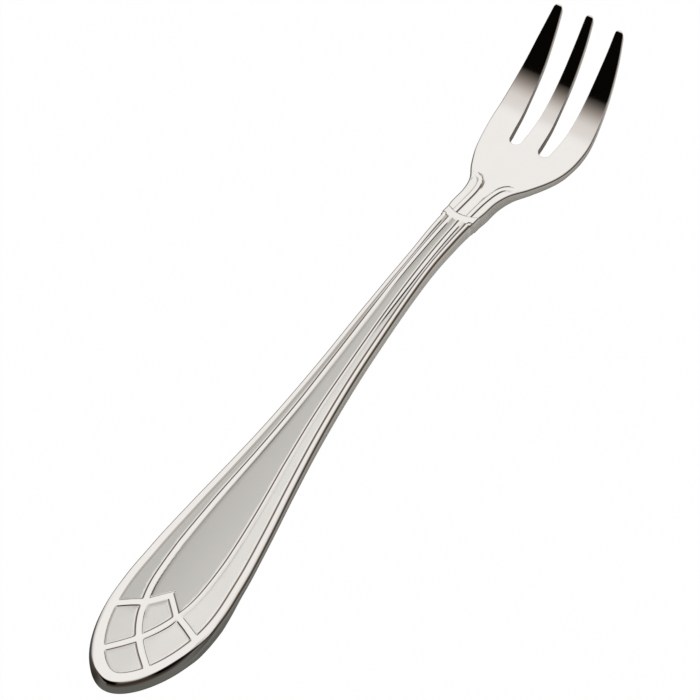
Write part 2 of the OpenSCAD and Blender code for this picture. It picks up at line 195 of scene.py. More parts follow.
def slabFaces(rows, columns, mask):
    # quads of a slab: the faces that the mask picks on top, the same below, and walls along the mask's
    # boundary. The lower grid's points follow the upper grid's.
    i, j = np.nonzero(mask)
    a = i * columns + j
    b = a + 1
    c = a + columns + 1
    d = a + columns
    under = rows * columns
    top = np.stack([a, b, c, d], 1)
    bottom = np.stack([d, c, b, a], 1) + under
    padded = np.pad(mask, 1)
    walls = []
    for di, dj, p, q in ((-1, 0, a, b), (0, 1, b, c), (1, 0, c, d), (0, -1, d, a)):
        edge = ~padded[i + 1 + di, j + 1 + dj]
        walls.append(np.stack([q[edge], p[edge], p[edge] + under, q[edge] + under], 1))
    return top, np.concatenate([bottom] + walls)


def slab(name, node, top, bottom, values, mask=None, topNormals=None, lowValues=None):
    # Closed piece between two grids of points. values are its attributes at the upper grid's points. The
    # lower grid has the same ones, or the numbers in lowValues.
    rows, columns = top.shape[:2]
    if mask is None:
        mask = np.ones((rows - 1, columns - 1), bool)
    upper, others = slabFaces(rows, columns, mask)
    points = np.concatenate([top.reshape(-1, 3), bottom.reshape(-1, 3)])
    # walls that would stand back to back on the middle plane go
    others = others[np.abs(points[others][:, :, 0]).max(axis=1) > 1e-7]
    faces = np.concatenate([upper, others])
    normals = None
    if topNormals is not None:
        normals = np.zeros(faces.shape + (3,))
        normals[:len(upper)] = topNormals.reshape(-1, 3)[upper]
    both = {}
    for key, grid in values.items():
        low = grid if lowValues is None else np.full(grid.shape, lowValues[key])
        both[key] = np.concatenate([grid.ravel(), low.ravel()])
    makePiece(name, node, points, faces, normals, both)


def polishedSlab(node, top, bottom, paintedShadeShare, mask=None, topNormals=None):
    values = {"polish": np.ones_like(paintedShadeShare), "paintedShadeShare": paintedShadeShare}
    slab(node + "_polished", node, top, bottom, values, mask, topNormals)


def pathDistance(path, x, y):
    # distance from each point to a path of straight pieces
    best = np.full(x.shape, 1e9)
    for (x0, y0), (x1, y1) in zip(path[:-1], path[1:]):
        length = math.hypot(x1 - x0, y1 - y0)
        ux, uy = (x1 - x0) / length, (y1 - y0) / length
        t = np.clip((x - x0) * ux + (y - y0) * uy, 0, length)
        best = np.minimum(best, np.hypot(x - x0 - t * ux, y - y0 - t * uy))
    return best


def finePath(points, step):
    # smooth path through a few points, by the distance along their straight pieces
    x, y = np.array(points, float).T
    s = np.concatenate([[0], np.cumsum(np.hypot(np.diff(x), np.diff(y)))])
    at = np.linspace(0, s[-1], max(int(s[-1] / step), 2) + 1)
    return list(zip(curveThrough(list(zip(s, x)), at), curveThrough(list(zip(s, y)), at)))


def gridNormals(grid):
    # direction across the grid at each point, from its neighbours along both ways
    n = np.cross(np.gradient(grid, axis=1), np.gradient(grid, axis=0))
    size = np.linalg.norm(n, axis=2, keepdims=True)
    return n / np.maximum(size, 1e-12)


def mathNode(operation, reflected=False):
    # operator that adds a Math node for a socket and a socket or a number
    def apply(self, other):
        first, second = (other, self) if reflected else (self, other)
        return addNode(self.tree, "ShaderNodeMath", {"operation": operation}, {0: first, 1: second})
    return apply


# Shader maths as Python expressions
class Sock:
    def __init__(self, tree, link):
        self.tree = tree
        self.link = link

    __add__, __radd__ = mathNode("ADD"), mathNode("ADD", True)
    __sub__, __rsub__ = mathNode("SUBTRACT"), mathNode("SUBTRACT", True)
    __mul__, __rmul__ = mathNode("MULTIPLY"), mathNode("MULTIPLY", True)
    __truediv__, high = mathNode("DIVIDE"), mathNode("MAXIMUM")


def addNode(tree, kind, settings, inputs, output=0):
    # any node: its settings first, then the values or links of its sockets, and the socket that is used next
    node = tree.nodes.new(kind)
    for key, value in settings.items():
        setattr(node, key, value)
    for key, value in inputs.items():
        if isinstance(value, Sock):
            tree.links.new(value.link, node.inputs[key])
        else:
            node.inputs[key].default_value = value
    return Sock(tree, node.outputs[output]) if node.outputs else None


def rampStep(tree, value, low, high):
    # 0 below low, 1 above high and an S curve between
    settings = {"interpolation_type": "SMOOTHSTEP"}
    return addNode(tree, "ShaderNodeMapRange", settings, {"Value": value, "From Min": low, "From Max": high})


def mixColor(tree, share, first, second):
    return addNode(tree, "ShaderNodeMix", {"data_type": "RGBA"}, {0: share, 6: first, 7: second}, 2)


def newMaterial(name):
    material = bpy.data.materials.new(name)
    material.use_nodes = True
    material.node_tree.nodes.clear()
    return material, material.node_tree


def rays(tree, *kinds):
    # 1 for rays of each of these kinds
    return [addNode(tree, "ShaderNodeLightPath", {}, {}, "Is " + kind + " Ray") for kind in kinds]


def noise(tree, place, scale, detail=2):
    return addNode(tree, "ShaderNodeTexNoise", {}, {"Vector": place, "Scale": scale, "Detail": detail})


steelLook = {
    "polished": (0.865, 0.838, 0.812, 1),
    "polishedShade": (0.84, 0.81, 0.78, 1),
    "satin": (0.50, 0.487, 0.452, 1),
    # satin and satinPaintedLit are the blasted ground's colour shaded and lit, mixed by the painted light
    # attribute
    "satinPaintedLit": (0.82, 0.80, 0.765, 1),
    # paintedShade: colour of the painted brown shade and dark reflections at the relief's feet and edges
    "paintedShade": (0.16, 0.12, 0.085, 1),
    "polishedRoughness": 0.055,
    "satinRoughness": 0.40,
    "grainScale": 9000,
    "scratchScale": 4200,
    "scratchStretch": (1, 0.06, 1),
    "cloudScale": 260,
    "waveScale": 208,
    "bumpStrength": 0.25,
    "bumpDistance": 0.00003,
}


def makeSteel():
    # Polished steel with faint scratches and waves. It turns satin where the panel is blasted, with painted
    # light and shade on that ground, and holds painted brown shade and dark reflections at the feet and edges
    # of its relief, by three attributes of its pieces.
    look = steelLook
    material, tree = newMaterial("struck_steel")
    place = addNode(tree, "ShaderNodeTexCoord", {}, {}, "Object")
    stretched = addNode(tree, "ShaderNodeMapping", {}, {"Vector": place, "Scale": look["scratchStretch"]})
    scratch = noise(tree, stretched, look["scratchScale"], 3)
    cloud = noise(tree, place, look["cloudScale"])
    wave = noise(tree, place, look["waveScale"], 1)
    grain = noise(tree, place, look["grainScale"])
    polish, paintedShadeShare, paintedLight = (addNode(tree, "ShaderNodeAttribute", {"attribute_name": key}, {}, "Fac")
                            for key in ("polish", "paintedShadeShare", "paintedLight"))
    polishedColor = mixColor(tree, cloud, look["polished"], look["polishedShade"])
    # painted light and shade on the blasted ground, between its shaded and lit colours
    satinColor = mixColor(tree, paintedLight * (0.92 + 0.16 * cloud), look["satin"], look["satinPaintedLit"])
    color = mixColor(tree, polish, satinColor, polishedColor)
    # painted shade: darkens the colour towards the painted shade colour by its share
    color = mixColor(tree, paintedShadeShare, color, look["paintedShade"])
    polishedRough = look["polishedRoughness"] * (0.7 + 0.6 * scratch)
    satinRough = look["satinRoughness"] * (0.85 + 0.3 * grain)
    rough = polishedRough * polish + satinRough * (1 - polish)
    height = wave * 0.35 + grain * (1 - polish) * 0.02
    settings = {"Strength": look["bumpStrength"], "Distance": look["bumpDistance"], "Height": height}
    bump = addNode(tree, "ShaderNodeBump", {}, settings)
    inputs = {"Base Color": color, "Metallic": 1.0, "Roughness": rough, "Normal": bump}
    shader = addNode(tree, "ShaderNodeBsdfPrincipled", {}, inputs)
    addNode(tree, "ShaderNodeOutputMaterial", {}, {"Surface": shader})
    return material


steel = makeSteel()
print("steel ready")

# Handle: a domed panel with a raised border and a lattice of ribs
handleValues = {
    "dome": 1.2,                # height of the middle of the broad end above its edge
    "relief": 0.35,             # height of the border and the ribs above the ground
    "borderWidth": 1.7,
    "stemBorderWidth": 0.95,
    "fieldStart": 2.92,         # point of the ground, from the handle's end
    "fieldFull": 20.44,
    "fieldPoint": 0.62,         # exponent of the ground's pointed end
    # profile of the upper edge, along the sides and round the end: how far in, how far down
    "sideEdge": [(0.42, 0), (0.34, 0.008), (0.27, 0.03), (0.21, 0.07), (0.165, 0.125), (0.13, 0.2),
                 (0.1, 0.29), (0.05, 0.45), (0, 0.62)],
    "endEdge": [(1.15, 0), (1.05, 0.02), (0.95, 0.07), (0.82, 0.17), (0.68, 0.31), (0.54, 0.48),
                (0.37, 0.84), (0.19, 1.24), (0, 1.66)],
    # painted dark reflection along that edge, on the left (-1) and on the right (1), by how far in it runs
    "sideLine": {-1: (-2, -1, 0.3, 0.42), 1: (0.07, 0.15, 0.34, 0.46)},
    "endLine": {-1: (-2, -1, 0.7, 0.8), 1: (0.4, 0.5, 0.75, 0.85)},
    "lineStrength": 0.95,
    "outerDepth": 0.75,         # depth of the ground outside the long ribs and between them, as shares
    "innerDepth": 1.25,
    "sideWall": 0.66,           # depth of the border's outer wall
    "endWall": 1.71,
    "step": 0.09,               # grid step at the broad end
    "columns": 190,
}


def borderWidthAt(y):
    v, s = handleValues, forkSizes
    share = (handleHalfAt(y) - s["stemHalf"]) / (s["handleHalf"] - s["stemHalf"])
    return v["stemBorderWidth"] + (v["borderWidth"] - v["stemBorderWidth"]) * share


def groundHalfAt(y):
    # half width of the ground: a pointed end, then the handle's half width less the border
    v = handleValues
    full = np.array(v["fieldFull"])
    start = handleHalfAt(full) - borderWidthAt(full)
    share = np.clip((y - v["fieldStart"]) / (v["fieldFull"] - v["fieldStart"]), 0, 1)
    point = start * (1 - (1 - share) ** 2) ** v["fieldPoint"]
    return np.where(y < v["fieldFull"], point, handleHalfAt(y) - borderWidthAt(y))


domeShares = [[0, 0.7], [0.07, 0.746], [0.1, 0.87], [0.13, 0.97], [0.16, 1], [0.205, 0.95], [0.308, 0.72],
              [0.41, 0.58], [0.548, 0.34], [0.65, 0.18], [0.74, 0.12]]


def crestLevel(x, y):
    # level of the panel's crest: its edge and a broad bulge that falls away before the border on every side
    half = np.maximum(handleHalfAt(np.maximum(y, noseLength)), 0.1)
    end = np.minimum((y / noseLength - 1), 0)
    out = np.sqrt(np.minimum((x / half) ** 2 + end ** 2, 1))
    dome = handleValues["dome"] * curveThrough(domeShares, y / forkLength)
    return edgeLevel(y) + dome * (1 - out ** 3) ** 2.2


# Outline of the handle's right half, its inward direction and the distance along it
endAngle = np.linspace(0, math.pi / 2, 500)
outlineY = np.concatenate([noseLength * (1 - np.cos(endAngle)),
                           np.linspace(noseLength, forkSizes["collarStart"], 900)[1:]])
outlineX = handleHalfAt(outlineY)
outlineX[0] = 0
outlineS = np.concatenate([[0], np.cumsum(np.hypot(np.diff(outlineX), np.diff(outlineY)))])
slopeX = np.gradient(outlineX, outlineS)
slopeY = np.gradient(outlineY, outlineS)
slopeX[0], slopeY[0] = 1, 0
fineEnd = 31.0                  # distance along the outline up to which the rows are close together
fineRows = int(fineEnd / handleValues["step"])
rowS = np.concatenate([np.linspace(0, fineEnd, fineRows + 1), np.linspace(fineEnd, outlineS[-1], 150)[1:]])
sideX = np.interp(rowS, outlineS, outlineX)
sideY = np.interp(rowS, outlineS, outlineY)
inX = -np.interp(rowS, outlineS, slopeY)
inY = np.interp(rowS, outlineS, slopeX)
inX, inY = inX / np.hypot(inX, inY), inY / np.hypot(inX, inY)
# the last row keeps to the collar's plane
inY = inY * (1 - smoothStep(outlineS[-1] - 6, outlineS[-1], rowS))
endShare = smoothStep(20, 8, sideY)
stripWidth = (0.7 + 0.05 * endShare) * borderWidthAt(np.maximum(sideY, noseLength))
stripWidth = np.maximum(stripWidth, 0.5)
middleX = sideX + inX * stripWidth
middleY = sideY + inY * stripWidth
middleX[0] = 0


def bandShape(d, flank):
    # height share of a band by the distance inside its edge: a soft foot, a steep flank and a domed crown
    foot = smoothStep(-0.5, 0, d)
    steep = smoothStep(-flank / 2, flank / 2, d)
    crown = smoothStep(0, 0.5, d)
    return 0.26 * foot + 0.56 * steep + 0.18 * crown


def joined(a, b, reach):
    # larger of two distances, with the corner between them rounded over the reach
    h = np.maximum(reach - np.abs(a - b), 0) / reach
    return np.maximum(a, b) + h * h * reach / 4


ribPoints = [(0, 10.25), (1.2, 12.1), (2.22, 14.1), (2.96, 16.1), (3.58, 18.1), (4.03, 20.1), (4.27, 22.1),
             (4.38, 24.1), (4.45, 27), (4.42, 30), (4.12, 35), (3.72, 40), (3.2, 45), (2.67, 50),
             (1.87, 60), (1.52, 70), (1.28, 80), (1.14, 90), (1.03, 98), (1.0, 105)]
ribPath = finePath(ribPoints, 0.6)
armPath = finePath([(0, 10.25), (1.08, 9.03), (2.08, 7.98), (3.22, 6.93), (4.1, 6.13), (4.8, 5.5)], 0.6)
barPath = [(3.2, 16.73), (5.35, 15.8), (7.6, 14.7)]
latticeWidths = {"rib": 1.08, "stemRib": 0.7, "arm": 1.16, "bar": 1.3, "chevron": 1.36}
chevronPeak = 19.8              # middle of the chevron's bars at the middle of the handle
fieldStart = handleValues["fieldStart"]
groundY = np.concatenate([fieldStart + 0.02 * np.arange(30) ** 1.7, np.linspace(10, 106, 150)])
groundEdge = list(zip(groundHalfAt(groundY), groundY))
groundEdge[0] = (0, fieldStart)


def latticeAt(x, y):
    # distance inside the border, the crossing arms, the ribs, the bars and the chevron, on one half
    w = latticeWidths
    barShift = 0.22 * (x > 0)
    x = np.abs(x)
    ribWidth = w["stemRib"] + (w["rib"] - w["stemRib"]) * smoothStep(72, 18, y)
    rib = ribWidth / 2 - pathDistance(ribPath, x, y)
    arm = w["arm"] / 2 - pathDistance(armPath, x, y)
    bar = w["bar"] / 2 - pathDistance(barPath, x - barShift, y)
    chevron = w["chevron"] / 2 - np.abs(x + y - chevronPeak) / math.sqrt(2)
    chevron = np.where(x < 2.9, chevron, -9.0)
    border = pathDistance(groundEdge, x, y)
    inside = (x < groundHalfAt(y)) & (y > fieldStart)
    return np.where(inside, -border, border), arm, rib, bar, chevron


def bandDistance(x, y):
    # distance inside the nearest band, the corners between the bands rounded
    border, arm, rib, bar, chevron = latticeAt(x, y)
    ribs = joined(arm, rib, 0.5)
    ribs = joined(ribs, bar, 0.3)
    ribs = joined(ribs, chevron, 0.3)
    return joined(border, ribs, 0.3)


def betweenRibs(x, y):
    # 1 between the long ribs and 0 outside them
    ribX, ribY = np.array([(-0.6, 9.2)] + ribPoints).T
    return smoothStep(-0.3, 0.3, np.interp(y, ribY, ribX) - np.abs(x))


def depthAt(x, y):
    v = handleValues
    inside = betweenRibs(x, y) * smoothStep(19.2, 20.4, y + np.abs(x))
    innerDepth = v["innerDepth"] * (1 - 0.4 * smoothStep(50, 90, y))
    depth = v["relief"] * (v["outerDepth"] + (innerDepth - v["outerDepth"]) * inside)
    return depth * (0.12 + 0.88 * smoothStep(104.0, 102.2, y - 0.1 * x ** 2))


def facing(x, y):
    # how far a flank faces left and how far it faces right
    side = (bandDistance(x + 0.01, y) - bandDistance(x - 0.01, y)) / 0.02
    return np.clip(side, 0, 1), np.clip(-side, 0, 1)


def borderShare(x, y):
    # 1 where the border is the nearest band and 0 by the ribs and the bars
    parts = latticeAt(x, y)
    return smoothStep(-0.1, 0.1, parts[0] - np.maximum(np.maximum(parts[1], parts[2]), parts[3]))


def flankAt(x, y):
    # The long ribs' flanks that face right are wider; the left rib's stands further out, the right one's
    # further in, and the border's right flank a little out.
    left, right = facing(x, y)
    border = borderShare(x, y)
    along = (1 - border) * smoothStep(14.5, 17.5, y) * smoothStep(95, 70, y)
    shift = (right * np.where(x < 0, 0.1, -0.36) - 0.09 * left) * along - 0.09 * border * smoothStep(0, 1, x)
    return shift, 0.24 + 0.24 * right * along


columns = handleValues["columns"]
share = np.linspace(-1, 1, columns + 1)
innerX = middleX[:, None] * share[None, :]
innerY = np.repeat(middleY[:, None], columns + 1, axis=1)
flankShift, flankWide = flankAt(innerX, innerY)
innerBand = bandDistance(innerX, innerY) + flankShift
reliefShare = bandShape(innerBand, flankWide)
groundZ = crestLevel(innerX, innerY) - depthAt(innerX, innerY)


def surfaceBeside(stepX, stepY):
    # level of the panel's upper surface at the grid's points, or a step beside them
    x, y = innerX + stepX, innerY + stepY
    return crestLevel(x, y) - depthAt(x, y) * (1 - bandShape(bandDistance(x, y) + flankShift, flankWide))


innerZ = surfaceBeside(0, 0)
delta = 0.004
dzdx = (surfaceBeside(delta, 0) - surfaceBeside(-delta, 0)) / (2 * delta)
dzdy = (surfaceBeside(0, delta) - surfaceBeside(0, -delta)) / (2 * delta)
innerNormals = np.stack([-dzdx, -dzdy, np.ones_like(dzdx)], 2)
innerNormals /= np.linalg.norm(innerNormals, axis=2, keepdims=True)


# Strip from the middle of the border out over the rounded edge and down its wall
def finerProfile(points, part):
    # one column of a profile with a point between each two of its own
    values = [point[part] for point in points]
    return np.maximum(curveThrough(list(enumerate(values)), np.arange(0, len(values) - 0.75, 0.5)), 0)


def edgeStrip(side, share):
    # The border's outer part from its middle to its wall, the level where the wall begins, and the painted
    # dark reflection line along its edge. share is 1 round the end of the handle, and side is 1 on the right.
    v = handleValues
    share = share[:, None]
    edgeIn, edgeDown = (finerProfile(v["sideEdge"], part) * (1 - share)
                        + finerProfile(v["endEdge"], part) * share for part in (0, 1))
    flat = stripWidth[:, None]
    inward = np.concatenate([flat * 0.93 + edgeIn[:, :1] * 0.07, (flat + edgeIn[:, :1]) / 2, edgeIn], axis=1)
    x = sideX[:, None] + inX[:, None] * inward
    y = sideY[:, None] + inY[:, None] * inward
    z = crestLevel(x, y) - np.concatenate([0 * edgeIn[:, :2], edgeDown], axis=1)
    wall = edgeLevel(sideY) - v["sideWall"] - (v["endWall"] - v["sideWall"]) * share[:, 0]
    strength = v["lineStrength"] - 0.1 * (side < 0) * smoothStep(20, 30, sideY)[:, None]
    line = strength * lineAt(inward, v["sideLine"][side]) * (1 - share)
    line = line + v["lineStrength"] * lineAt(inward, v["endLine"][side]) * share
    if side < 0:
        line = line * smoothStep(0.5, 3, sideX)[:, None]
    x = np.concatenate([x, sideX[:, None]], axis=1)
    y = np.concatenate([y, sideY[:, None]], axis=1)
    x[0] = 0
    strip = np.stack([side * x, y, np.concatenate([z, wall[:, None]], axis=1)], 2)
    return strip, wall, np.concatenate([line, 0 * line[:, :1]], axis=1)


rightStrip, rightWallZ, rightPaintedLine = edgeStrip(1, endShare)
leftStrip, leftWallZ, leftPaintedLine = edgeStrip(-1, endShare * (1 - 0.55 * smoothStep(1.5, 6, sideX)))
leftStrip = leftStrip[:, ::-1]
panelTop = np.concatenate([leftStrip, np.stack([innerX, innerY, innerZ], 2), rightStrip], axis=1)
stripCount = rightStrip.shape[1]
panelNormals = gridNormals(panelTop)
panelNormals[:, stripCount:-stripCount] = innerNormals
for seam in (slice(0, stripCount), slice(-stripCount, None)):
    panelNormals[0, seam, 0] = 0
    panelNormals[0, seam] /= np.linalg.norm(panelNormals[0, seam], axis=1, keepdims=True)

# Floor of the pockets below the relief, sloping out to the wall's lower edge
floorShare = np.linspace(0, 1, stripCount + 1)[1:]
floorDrop = 0.03
innerFloor = np.stack([innerX, innerY, groundZ - floorDrop], 2)


def floorStrip(column, side, wall):
    # straight from the floor's last column to the foot of the strip
    foot = np.stack([side * sideX, sideY, wall], 1)
    return column[:, None] * (1 - floorShare)[None, :, None] + foot[:, None] * floorShare[None, :, None]


panelFloor = np.concatenate([floorStrip(innerFloor[:, 0], -1, leftWallZ)[:, ::-1], innerFloor,
                             floorStrip(innerFloor[:, -1], 1, rightWallZ)], axis=1)


def corners(values):
    # the four corners' values for each face of a grid
    return np.stack([values[1:, 1:], values[1:, :-1], values[:-1, 1:], values[:-1, :-1]])


def withSides(values, sideValue, count):
    # a grid with columns of one value added on both sides
    return np.pad(values, ((0, 0), (count, count)), constant_values=sideValue)


# The painted shade's places go by the distance inside a band: it starts, is full, is still full and ends
paintedShadeValues = {
    "foot": (-0.34, -0.16, 0.02, 0.18),
    "crown": (0.04, 0.14, 0.18, 0.28),
    "shade": (-0.8, -0.05, -0.1, 0.05),
    "leftFoot": 0.9,            # strength where a flank faces left
    "borderRight": 0.45,        # strength where the border's flank faces right, and where a rib's does
    "ribRight": 0.1,
    "crownStrength": 0.12,
    "shadeStrength": 0.2,
}


def paintedShadeAt(x, y, band):
    # painted brown shade and dark reflections: a line at the foot of every flank, strongest where it faces
    # left, a fine one along the crown's right side, and a soft shade beside the left rib
    v = paintedShadeValues
    left, right = facing(x, y)
    inside = betweenRibs(x, y)
    atBorder = borderShare(x, y)
    outsideRight = (1 - inside) * (x > 0)
    strength = v["borderRight"] * atBorder + v["ribRight"] * (1 - atBorder) * (1 - outsideRight)
    foot = lineAt(band, v["foot"]) * (0.1 + v["leftFoot"] * left + strength * right)
    crown = lineAt(band, v["crown"]) * v["crownStrength"] * right * outsideRight
    shade = lineAt(band, v["shade"]) * v["shadeStrength"] * right * inside * (x < 0) * (y > 14)
    return np.clip(foot + crown + shade, 0, 1)


def polishAt(x, y, band):
    # the relief is polished down to its foot, further out where it faces left
    reach = 0.12 + 0.32 * facing(x, y)[0]
    return smoothStep(-reach - 0.06, -reach + 0.02, band)


def paintedLightAt(x, y):
    # painted light and shade on the blasted ground: lighter to the right of the ribs and in the small cells,
    # darker between the long ribs and to the left
    inside = betweenRibs(x, y) * smoothStep(19, 20.5, y + np.abs(x))
    outer = 0.22 + 0.73 * smoothStep(-2, 3, x)
    cells = 0.66 + 0.24 * smoothStep(0, 4, x)
    outer = outer + (cells - outer) * smoothStep(16.5, 13.5, y)
    outer = outer + (0.7 - outer) * betweenRibs(x, y)
    return outer + (0.1 + 0.035 * (x + 3) - outer) * inside


def valuesAt(x, y, band, count):
    # attributes of a grid of the panel, with polished columns added on both sides
    return {"polish": withSides(polishAt(x, y, band), 1, count),
            "paintedShadeShare": withSides(paintedShadeAt(x, y, band), 0, count),
            "paintedLight": withSides(paintedLightAt(x, y), 0, count)}


# Each face of the grid belongs to the band that it lies deepest in
bands = [withSides(band, -9, stripCount) for band in latticeAt(innerX, innerY)]
bands[0][:, :stripCount] = bands[0][:, -stripCount:] = 9
raised = corners(withSides(reliefShare, 1, stripCount)).max(0) > 0.003
deepest = np.argmax(np.stack([corners(band).mean(0) for band in bands]), axis=0)
onBorder, onArm, onRib, onBar, onChevron = (raised & (deepest == number) for number in range(len(bands)))
crossingTop = noseLength * 0.69     # the crossing ends here, and the long ribs begin
inCrossing = corners(panelTop[:, :, 1]).mean(0) < crossingTop
onLeft = corners(panelTop[:, :, 0]).mean(0) < 0
reliefMasks = {
    "handle_border": onBorder,
    "rib_crossing": onArm | (onRib & inCrossing),
    "rib_left": onRib & ~inCrossing & onLeft,
    "rib_right": onRib & ~inCrossing & ~onLeft,
    "bar_left": onBar & onLeft,
    "bar_right": onBar & ~onLeft,
    "chevron": onChevron,
}
reliefValues = valuesAt(innerX, innerY, innerBand, stripCount)
reliefValues["paintedShadeShare"][:, :stripCount] = leftPaintedLine[:, ::-1]
reliefValues["paintedShadeShare"][:, -stripCount:] = rightPaintedLine
for node, mask in reliefMasks.items():
    slab(node + "_struck", node, panelTop, panelFloor, reliefValues, mask, panelNormals)
print("handle relief ready")

# Body of the handle: the smooth ground on top, and the rounded back below
lowerRound = {"width": 0.6, "depth": 0.5, "inset": 0.9}
bodyRows = np.unique(np.concatenate([np.arange(0, fineRows, 3), np.arange(fineRows, len(rowS))]))
bodyShare = np.linspace(-1, 1, 61)
bodyX = middleX[bodyRows, None] * bodyShare
bodyY = np.repeat(middleY[bodyRows, None], len(bodyShare), axis=1)
groundTop = np.stack([bodyX, bodyY, crestLevel(bodyX, bodyY) - depthAt(bodyX, bodyY)], 2)
lowerAngles = np.linspace(math.pi / 2, 0, 9)
lowerCount = len(lowerAngles)
backInset = np.minimum(lowerRound["inset"], stripWidth[bodyRows] * 1.4)
backWide = np.minimum(lowerRound["width"], backInset * 0.8)
sideLevel = edgeLevel(sideY[bodyRows])
wallDepth = np.minimum(lowerRound["depth"], (sideLevel - backLevel(sideY[bodyRows])) * 0.45)
lowIn = np.concatenate([backWide[:, None] * (1 - np.sin(lowerAngles)), backInset[:, None]], axis=1)
lowX = sideX[bodyRows, None] + inX[bodyRows, None] * lowIn
lowY = sideY[bodyRows, None] + inY[bodyRows, None] * lowIn
mirror = np.array([-1, 1, 1])


def handleBackAt(x, y):
    # level of the back: the lower edge less a parabola across, and flat where it rests
    half = np.maximum(handleHalfAt(np.maximum(y, noseLength)), 0.1)
    crown = forkSizes["backCrown"] * np.maximum(0, curveThrough(crownShares, y / forkLength))
    return backLevel(y) - np.minimum(crown, backLevel(y)) * np.clip(1 - (x / half) ** 2, 0, 1)


def wallColumns(side, wall):
    # foot of the border's wall, once for each column of the rounded lower edge
    foot = np.stack([side * sideX[bodyRows], sideY[bodyRows], wall[bodyRows]], 1)
    return np.repeat(foot[:, None], lowerCount, axis=1)


lowZ = handleBackAt(lowX, lowY)
lowZ[:, :lowerCount] += wallDepth[:, None] * (1 - np.cos(lowerAngles))
lowX[0] = 0
backX = lowX[:, -1:] * bodyShare
backY = np.repeat(lowY[:, -1:], len(bodyShare), axis=1)
backGrid = np.stack([backX, backY, handleBackAt(backX, backY)], 2)
lowSide = np.stack([lowX, lowY, lowZ], 2)[:, :-1]
bodyTop = np.concatenate([wallColumns(-1, leftWallZ), groundTop, wallColumns(1, rightWallZ)], axis=1)
bodyBottom = np.concatenate([lowSide * mirror, backGrid, lowSide[:, ::-1]], axis=1)
bodyBand = bandDistance(bodyX, bodyY) + flankAt(bodyX, bodyY)[0]
slab("handle_body", "handle_blade", bodyTop, bodyBottom, valuesAt(bodyX, bodyY, bodyBand, lowerCount),
     lowValues={"polish": 1, "paintedShadeShare": 0, "paintedLight": 0})
print("handle body ready")

# Neck, palm and tines
headValues = {
    "roundWidth": 0.34,         # rounding of the upper edge of the head
    "roundDepth": 0.3,
    "lowWidth": 0.4,            # rounding of its lower edge
    "lowDepth": 0.36,
    "slotRound": 0.17,          # rounding of the edges of the slots
    "slotOffset": 2.75,
    "slotHalf": 1.1,
    "tipRound": 0.75,           # length of a tine's rounded end
    "outerColumns": 26,
    "middleColumns": 30,
}
slotCenter = forkSizes["slotRoot"] + headValues["slotHalf"]
edgeAngles = np.linspace(math.pi / 2, 0, 8)
rootAngles = np.linspace(0, math.pi / 2, 15)
tipDistance = headValues["tipRound"] * (1 - np.sin(np.linspace(0, math.pi / 2, 12)))
# inner edge of an outer tine and half width of the middle one, by the place along the fork
outerTable = [(125.9, 3.85), (128.5, 4.13), (132.5, 4.38), (135.5, 4.47), (138.5, 4.56), (141.5, 4.77),
              (145.8, 5.12)]
middleTable = [(125.9, 1.65), (128.5, 1.52), (132.5, 1.32), (135.5, 1.24), (138.5, 1.16), (141.5, 1.03),
               (143.5, 0.9), (146, 0.68)]


def outlineLean(y):
    # how much longer a step straight across is than one square to the outline
    slope = (headHalfAt(y + 0.05) - headHalfAt(y - 0.05)) / 0.1
    return np.sqrt(1 + slope ** 2)


def wallPair(edgeX, y, lean):
    # How far in the upper and the lower flat face begin, and the rounded parts of the side from the middle
    # of its wall to them. lean widens the rounding where the outline runs aslant.
    topZ, backZ = edgeLevel(y), backLevel(y)

    def rounded(name, level, up):
        width = headValues[name + "Width"] * lean
        depth = np.minimum(headValues[name + "Depth"] * lean, (topZ - backZ) * 0.42)
        x = edgeX[:, None] - width[:, None] * (1 - np.sin(edgeAngles))
        z = level[:, None] + up * depth[:, None] * (1 - np.cos(edgeAngles))
        return width, np.stack(np.broadcast_arrays(x, y[:, None], z), 2)

    return zip(rounded("round", topZ, -1), rounded("low", backZ, 1))


def flatGrid(startX, endX, y, count, z):
    # flat face between two sides
    x = startX[:, None] + (endX - startX)[:, None] * np.linspace(0, 1, count + 1)
    return np.stack(np.broadcast_arrays(x, y[:, None], z[:, None]), 2)


def betweenWalls(wall, flat):
    # flat face with the right wall after it and the left wall, which mirrors the right one, before it
    return np.concatenate([wall * mirror, flat, wall[:, ::-1]], axis=1)


def slotEdge(side, table, tip):
    # Edge of a tine beside its slot, and its rounding from the middle of the wall to the flat faces. The
    # rows run round the slot's root, a quarter of a circle, then along the tine in even steps, and closer
    # over its rounded end. side is 1 for an outer tine and -1 for the middle one.
    v = headValues
    alongY = np.linspace(slotCenter, tip - v["tipRound"], 90)[1:]
    alongY = np.concatenate([alongY, (tip - tipDistance)[1:]])
    rootX = v["slotOffset"] + side * v["slotHalf"] * np.sin(rootAngles)
    x = np.concatenate([rootX, curveThrough(table, alongY)])
    y = np.concatenate([slotCenter - v["slotHalf"] * np.cos(rootAngles), alongY])
    facesX = np.concatenate([side * np.sin(rootAngles), np.full(len(alongY), float(side))])
    facesY = np.concatenate([-np.cos(rootAngles), np.zeros(len(alongY))])
    inward = v["slotRound"] * (1 - np.sin(edgeAngles))
    down = v["slotRound"] * (1 - np.cos(edgeAngles))
    px = x[:, None] + facesX[:, None] * inward
    py = y[:, None] + facesY[:, None] * inward
    return x, np.stack([px, py, edgeLevel(py) - down], 2), np.stack([px, py, backLevel(py) + down], 2)


def edgePaintedShade(y, side):
    # brown line of painted dark reflection along the upper edge of a side, from its wall inward: on the right
    # as far as the tines, on the left by the neck and again towards the tip
    if side > 0:
        share = 0.95 * smoothStep(136, 130, y)
        line = np.array([0.1, 0.2, 0.5, 0.85, 1, 0.8, 0.3, 0])
    else:
        share = 0.85 * smoothStep(122, 118, y) + 0.14 + 0.75 * smoothStep(126, 133, y)
        line = np.array([1, 1, 1, 1, 1, 0.9, 0.5, 0])
    return share[:, None] * line


